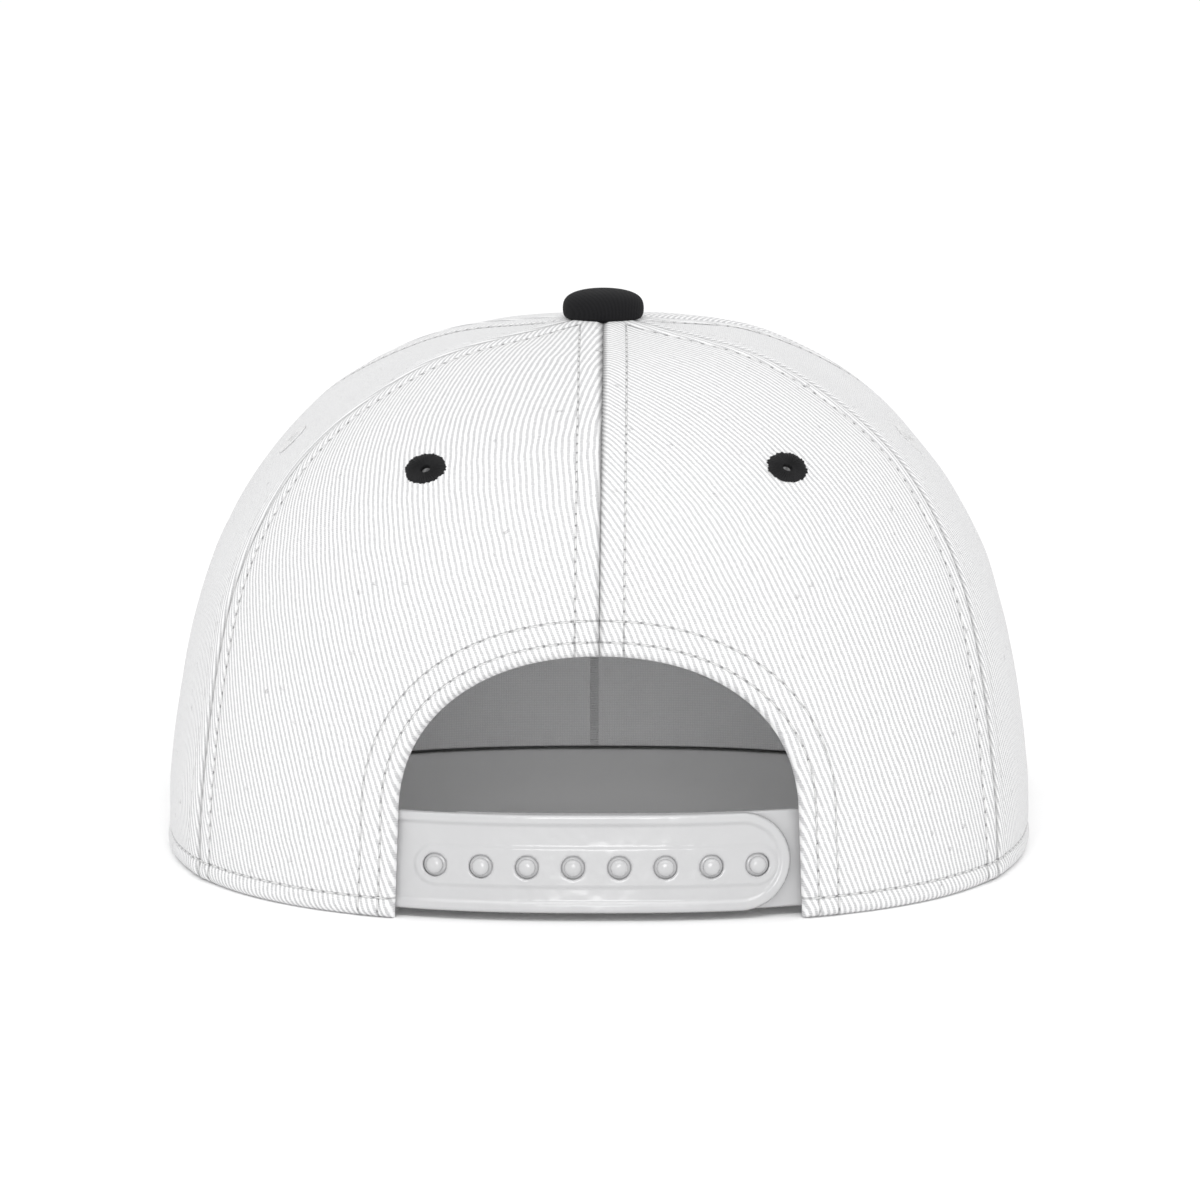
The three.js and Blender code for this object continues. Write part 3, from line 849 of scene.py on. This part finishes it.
for number, eyelet in enumerate(eyelets):
    if eyelet.startswith("rear"):
        overcast(eyelet, black_thread, number)
    else:
        overcast(eyelet, white_thread, number)

# Button. A pressed metal shell covered with black twill, drawn tight over its rounded edge and
# held by a post through the point of the crown.
button_outline = (
    (0, -4.5), (1.8, -4.5), (1.8, 0.1), (4.8, -0.3), (7.2, -1.3), (8.1, -1.15), (8.6, -0.4), (8.7, 0.8),
    (8.6, 2.1), (8, 3.2), (6.7, 4), (4.8, 4.55), (2.5, 4.83), (0, 4.9),
)
# The second colour is the painted shade of the valleys between the ribs.
black_twill = twill("black_twill", (0.0105, 0.0105, 0.0115, 1), (0.008, 0.008, 0.0088, 1), 0.03 * mm, 0.01)

button_bm = bmesh.new()
line = [button_bm.verts.new((r * mm, 0, z * mm)) for r, z in button_outline]
edges = [button_bm.edges.new((a, b)) for a, b in zip(line, line[1:])]
bmesh.ops.spin(
    button_bm, geom=line + edges, cent=(0, 0, 0), axis=(0, 0, 1), angle=2 * math.pi, steps=48, use_merge=True,
)
close_up(button_bm)
cover = button_bm.loops.layers.uv.new("fabric")
for face in button_bm.faces:
    for loop in face.loops:
        spot = loop.vert.co
        spread = 1 + 0.6 * smoothstep(0.006 - spot.z, 0, 0.005)
        loop[cover].uv = (spot.x / mm * spread, spot.y / mm * spread)
for vert in button_bm.verts:
    vert.co += Vector((peak_shift, crown_y, crown_height))
button = new_piece("button_cover", button_bm, black_twill)
smoothing = button.modifiers.new("rounding", "SUBSURF")
smoothing.levels = smoothing.render_levels = 2
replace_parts(button, "top_button")

# Snap straps. Two moulded strips of glossy white plastic, their ends sewn behind the rear gores.
# The outer one has a raised rim, a raised track and eight holes; the studs of the inner one
# press through them.
strap_width = 20.6 * mm
strap_lift = 1.8 * mm
strap_wall = 1.1 * mm
strap_rim = (2.2 * mm, 0.5 * mm)
strap_track = (4.1 * mm, 0.28 * mm)
rim_slope = 0.35 * mm
track_slope = 0.25 * mm
hole_lip = 0.16 * mm
outline_lip = 0.7 * mm
tab_end = 54.4 * mm
outer_tip = 39.7 * mm
inner_tip = -38.4 * mm
snap_height = 11.4 * mm
snap_hole = 2.4 * mm
snaps = [(-0.5 + 9.5 * (k - 3.5)) * mm for k in range(8)]
strap_depth = fold + clearance
floor_depth = strap_depth + strap_rim[1]
inner_depth = floor_depth + strap_wall + clearance
strap_grid = 0.32 * mm


def inside_crown(azimuth, row, depth):
    return crown_point(azimuth, row) - crown_normal(azimuth, row) * depth


def strap_azimuth(x, height, depth):
    def along(azimuth):
        return inside_crown(azimuth, row_at_height(azimuth, height), depth).x

    return solve(along, x, -gore_angle, gore_angle)


# Inside of the crown over the straps' width, from a coarse table of exact points.
table_x = [mix(-60 * mm, 60 * mm, k / 48) for k in range(49)]
table_height = [mix(0, 24 * mm, k / 6) for k in range(7)]
strap_table = []
for x in table_x:
    column = []
    for height in table_height:
        azimuth = strap_azimuth(x, height, strap_depth)
        row = row_at_height(azimuth, height)
        column.append((inside_crown(azimuth, row, strap_depth), crown_normal(azimuth, row)))
    strap_table.append(column)


def strap_point(x, height, depth):
    u = (x / mm + 60) / 120 * 48
    v = height / mm / 24 * 6
    i, j = min(max(int(u), 0), 47), min(max(int(v), 0), 5)
    s, t = u - i, v - j
    corners = [strap_table[i][j], strap_table[i + 1][j], strap_table[i][j + 1], strap_table[i + 1][j + 1]]
    weights = [(1 - s) * (1 - t), s * (1 - t), (1 - s) * t, s * t]
    point = sum((c[0] * w for c, w in zip(corners, weights)), Vector())
    normal = sum((c[1] * w for c, w in zip(corners, weights)), Vector()).normalized()
    return point - normal * (depth - strap_depth)


# Distance inside a strap's outline, whose tip is round and whose tail is square.
def inside_outline(x, height, tip, way):
    radius = strap_width / 2
    from_middle = height - strap_lift - radius
    past = (x - tip) * way + radius
    return radius - math.hypot(past, from_middle) if past > 0 else radius - abs(from_middle)


def inside_holes(x, height, holes):
    return min([math.hypot(x - hole, height - snap_height) - snap_hole for hole in holes] or [1])


def strap_plan(tip, way, holes):
    left, right = sorted((-way * tab_end, tip))
    width = right - left
    bm = bmesh.new()
    bmesh.ops.create_grid(
        bm, x_segments=round(width / strap_grid), y_segments=round(strap_width / strap_grid), size=0.5,
        matrix=Matrix.Translation(((left + right) / 2, strap_lift + strap_width / 2, 0))
        @ Matrix.Diagonal((width, strap_width, 1, 1)),
    )

    def depth_inside(x, y):
        return min(inside_outline(x, y, tip, way), inside_holes(x, y, holes))

    def outside(face):
        spot = face.calc_center_median()
        return depth_inside(spot.x, spot.y) < 0

    bmesh.ops.delete(bm, geom=[f for f in bm.faces if outside(f)], context="FACES")
    for vert in {v for e in bm.edges if e.is_boundary for v in e.verts}:
        for _ in range(3):
            x, y = vert.co.x, vert.co.y
            if abs(x - (left if way > 0 else right)) < strap_grid / 4:
                break
            step = 0.001 * mm
            slope = Vector((
                depth_inside(x + step, y) - depth_inside(x - step, y),
                depth_inside(x, y + step) - depth_inside(x, y - step), 0,
            )) / (2 * step)
            if slope.length > 0.1:
                vert.co -= slope * depth_inside(x, y) / slope.length_squared
    return bm


plastic_finish = Finish("moulded_plastic", 0.2, specular=0.75)
ripple = plastic_finish.noise(plastic_finish.object_place(), 160, 2)
grain = plastic_finish.noise(plastic_finish.object_place(), 2200, 2)
plastic_finish.paint(plastic_finish.colour(ripple, (0.47, 0.47, 0.476, 1), (0.5, 0.5, 0.505, 1)))
roughness = plastic_finish.maths("MULTIPLY_ADD", grain, 0.12, 0.12)
plastic_finish.feed(plastic_finish.shader.inputs["Roughness"], roughness)
plastic_finish.bump(ripple, 0.35 * mm)
plastic = plastic_finish.material


def outer_strap_place(index, vert, at_border):
    x, height = vert.co.x, vert.co.y
    rim = inside_outline(x, height, outer_tip, 1)
    hole = inside_holes(x, height, snaps)
    beyond = max(0, abs(x - (snaps[0] + snaps[-1]) / 2) - (snaps[-1] - snaps[0]) / 2)
    track_from = math.hypot(beyond, height - snap_height)
    out = strap_rim[1] * (1 - smoothstep(rim, strap_rim[0] - rim_slope, strap_rim[0] + rim_slope))
    out += strap_track[1] * (1 - smoothstep(track_from, strap_track[0] - track_slope, strap_track[0] + track_slope))
    edge = 0 if at_border else max(0, min(rim, hole))
    lip = hole_lip if hole < rim else outline_lip
    outside = strap_point(x, height, floor_depth - out + rounded(edge, lip))
    inner_back = rounded(edge, strap_wall + out - lip)
    return outside, strap_point(x, height, floor_depth + strap_wall - inner_back), None


def inner_strap_depth(x):
    return mix(inner_depth, strap_depth, smoothstep(x, outer_tip, 49.2 * mm))


def inner_strap_place(index, vert, at_border):
    x, height = vert.co.x, vert.co.y
    edge = 0 if at_border else max(0, inside_outline(x, height, inner_tip, -1))
    back = rounded(edge, strap_wall / 2)
    depth = inner_strap_depth(x)
    return strap_point(x, height, depth + back), strap_point(x, height, depth + strap_wall - back), None


outer_bm = strap_plan(outer_tip, 1, snaps)
two_faced(outer_bm, outer_strap_place)
close_up(outer_bm)
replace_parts(new_piece("snap_strap_outer", outer_bm, plastic), "strap_outer")

inner_bm = strap_plan(inner_tip, -1, [])
two_faced(inner_bm, inner_strap_place)
close_up(inner_bm)
stud_outline = (
    (0, -2.3), (2.38, -2.3), (2.43, -0.32), (2.36, -0.2), (1.9, -0.18), (1.78, -0.12), (1.72, 0.02),
    (1.74, 0.3), (1.78, 0.6), (1.62, 0.9), (1.25, 1.15), (0.7, 1.3), (0, 1.35),
)
stud_bm = bmesh.new()
line = [stud_bm.verts.new((r * mm, 0, z * mm)) for r, z in stud_outline]
edges = [stud_bm.edges.new((a, b)) for a, b in zip(line, line[1:])]
bmesh.ops.spin(
    stud_bm, geom=line + edges, cent=(0, 0, 0), axis=(0, 0, 1), angle=2 * math.pi, steps=24, use_merge=True,
)
close_up(stud_bm)
stud = pattern("stud", stud_bm)
for snap in snaps:
    face_point = strap_point(snap, snap_height, floor_depth)
    out = face_point - strap_point(snap, snap_height, floor_depth + 1 * mm)
    add_copy(inner_bm, stud, Matrix.Translation(face_point) @ out.to_track_quat("Z", "Y").to_matrix().to_4x4())
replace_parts(new_piece("snap_strap_inner", inner_bm, plastic), "strap_inner")

# Sweatband. A folded band of fine white cotton, sewn round the inside of the rim from one side
# of the opening to the other, behind the ends of the straps.
band_height = 32 * mm
band_wall = 1 * mm
band_lift = 0.8 * mm
band_start = arch_corner + math.radians(2)
band_ease = math.radians(10)
tab_azimuth = strap_azimuth(tab_end, strap_lift + strap_width, inner_depth)
room_for_tab = inner_depth + strap_wall + clearance - strap_depth

band_finish = Finish("band_cotton", 0.9, specular=0.2, sheen=0.3)
band_u, band_v = band_finish.uv("band")
weft = band_finish.wave(band_u, 0.55)
warp = band_finish.wave(band_v, 0.55)
band_yarn = band_finish.noise(band_finish.add("UVMap", uv_map="band"), 1.6, 4)
band_weave = band_finish.maths("MULTIPLY_ADD", band_yarn, 0.8, band_finish.maths("MULTIPLY", weft, warp))
# The colour is darker between the yarn crossings, which is painted shade, and varies at random with the yarn noise.
band_finish.paint(band_finish.colour(band_weave, (0.74, 0.74, 0.75, 1), (0.86, 0.86, 0.865, 1)))
band_finish.bump(band_weave, 0.05 * mm)


def band_place(index, vert, at_border):
    angle = mix(band_start, 2 * math.pi - band_start, vert.co.x + 0.5)
    azimuth = angle - 2 * math.pi if angle > math.pi else angle
    height = band_lift + (vert.co.y + 0.5) * band_height
    end = min(0.5 - abs(vert.co.x), 1) * 2 * (math.pi - band_start) * crown_half_width
    edge = 0 if at_border else min(end, height - band_lift, band_lift + band_height - height)
    clear = smoothstep(abs(azimuth), tab_azimuth, tab_azimuth + band_ease)
    wave = noise.noise(Vector((math.sin(azimuth) * 3, math.cos(azimuth) * 3, height * 40))) * 0.12 * mm
    depth = strap_depth + room_for_tab * (1 - clear)
    row = row_at_height(azimuth, height)
    back = rounded(edge, band_wall / 2)
    inward = depth + band_wall - back + (0 if at_border else wave * smoothstep(edge, 0, 2 * mm))
    outside, inside = inside_crown(azimuth, row, depth + back), inside_crown(azimuth, row, inward)
    if height < rim_height(azimuth):
        outside.z = inside.z = height
    return outside, inside, {
        "band": (azimuth * crown_half_width / mm, height / mm),
    }


band_bm = bmesh.new()
bmesh.ops.create_grid(band_bm, x_segments=240, y_segments=40, size=0.5)
for vert in band_bm.verts:
    share = abs(vert.co.y) * 2
    vert.co.y = math.copysign(mix(share, math.sin(share * math.pi / 2), 0.85) / 2, vert.co.y)
two_faced(band_bm, band_place, ("band",))
close_up(band_bm)
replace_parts(new_piece("sweatband_cotton", band_bm, band_finish.material), "sweatband")

# Brim. A stiff flat board between two layers of black twill, sewn into the front of the rim and
# quilted with eight rows of stitches that follow its edge.
brim_projection = 70 * mm
brim_squareness = 2.3
brim_rows = 8
brim_row_pitch = 6.4 * mm
brim_first_row = 5.5 * mm
brim_corner_y = crown_y - rim_radius(brim_corner) * math.cos(brim_corner)
brim_reach = crown_y + crown_front + brim_projection - brim_corner_y


def brim_outline(share):
    sin, cos = math.sin(share * math.pi / 2), math.cos(share * math.pi / 2)
    return Vector((
        math.copysign(brim_half_width * abs(sin) ** (2 / brim_squareness), sin),
        brim_corner_y + brim_reach * max(0, cos) ** (2 / brim_squareness),
    ))


def brim_root(share):
    azimuth = math.copysign(math.pi - (math.pi - brim_corner) * abs(share), share)
    return inside_crown(azimuth, 0, fold).to_2d()


def brim_spot(share, out):
    return brim_root(share).lerp(brim_outline(share), out)


brim_edge_marks = [brim_outline(k / 300) for k in range(-300, 301)]
brim_edge_lengths = [0]
for before, after in zip(brim_edge_marks, brim_edge_marks[1:]):
    brim_edge_lengths.append(brim_edge_lengths[-1] + (after - before).length)
brim_tree = kdtree.KDTree(len(brim_edge_marks))
for k, mark in enumerate(brim_edge_marks):
    brim_tree.insert(mark.to_3d(), k)
brim_tree.balance()


def from_brim_edge(spot):
    k = brim_tree.find(spot.to_3d())[1]
    k = min(max(k, 1), len(brim_edge_marks) - 2)
    along = (brim_edge_marks[k + 1] - brim_edge_marks[k - 1]).normalized()
    away = spot - brim_edge_marks[k]
    return (away - along * away.dot(along)).length


def brim_relief(away):
    rows = [brim_first_row + k * brim_row_pitch for k in range(brim_rows)]
    nearest = min(abs(away - row) for row in rows)
    return -0.22 * mm * math.exp(-(nearest / (0.6 * mm)) ** 2)


def brim_place(index, vert, at_border):
    share, out = vert.co.x * 2, vert.co.y + 0.5
    spot = brim_spot(share, out)
    away = from_brim_edge(spot)
    root = (spot - brim_root(share)).length
    edge = 0 if at_border else min(away, root)
    back = rounded(edge, brim_thickness / 2)
    relief = 0 if at_border else brim_relief(away) * smoothstep(edge, 0, 3 * mm)
    low = brim_underside(spot.x)
    top = Vector((spot.x, spot.y, low + brim_thickness - back + relief))
    return top, Vector((spot.x, spot.y, low + back - relief)), {"fabric": (spot.x / mm, spot.y / mm)}


brim_bm = bmesh.new()
bmesh.ops.create_grid(brim_bm, x_segments=190, y_segments=96, size=0.5)
for vert in brim_bm.verts:
    share, out = vert.co.x * 2, vert.co.y + 0.5
    vert.co.x = math.copysign(1 - (1 - abs(share)) ** 1.15, share) / 2
    vert.co.y = mix(out, math.sin(out * math.pi / 2), 0.6) - 0.5
two_faced(brim_bm, brim_place, ("fabric",))
close_up(brim_bm)
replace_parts(new_piece("brim_cover", brim_bm, black_twill), "brim")

quilting = bmesh.new()
for row_number in range(brim_rows):
    away = brim_first_row + row_number * brim_row_pitch
    row_spots = []
    for k in range(-150, 151):
        share = k / 150
        reach = (brim_outline(share) - brim_root(share)).length
        if reach > away + 2 * mm:
            out = solve(lambda o: -from_brim_edge(brim_spot(share, o)), -away, 0, 1)
            row_spots.append(brim_spot(share, 1 - out if out < 0 else out))
    walked = 0
    for before, after in zip(row_spots, row_spots[1:]):
        span = (after - before).length
        while walked <= span:
            spot = before.lerp(after, walked / span)
            along = (after - before).to_3d()
            point = Vector((spot.x, spot.y, brim_underside(spot.x) + brim_thickness - 0.12 * mm))
            lay_stitch(quilting, point, along, Vector((0, 0, 1)))
            walked += stitch_pitch
        walked -= span
new_piece("brim_topstitching", quilting, black_thread)
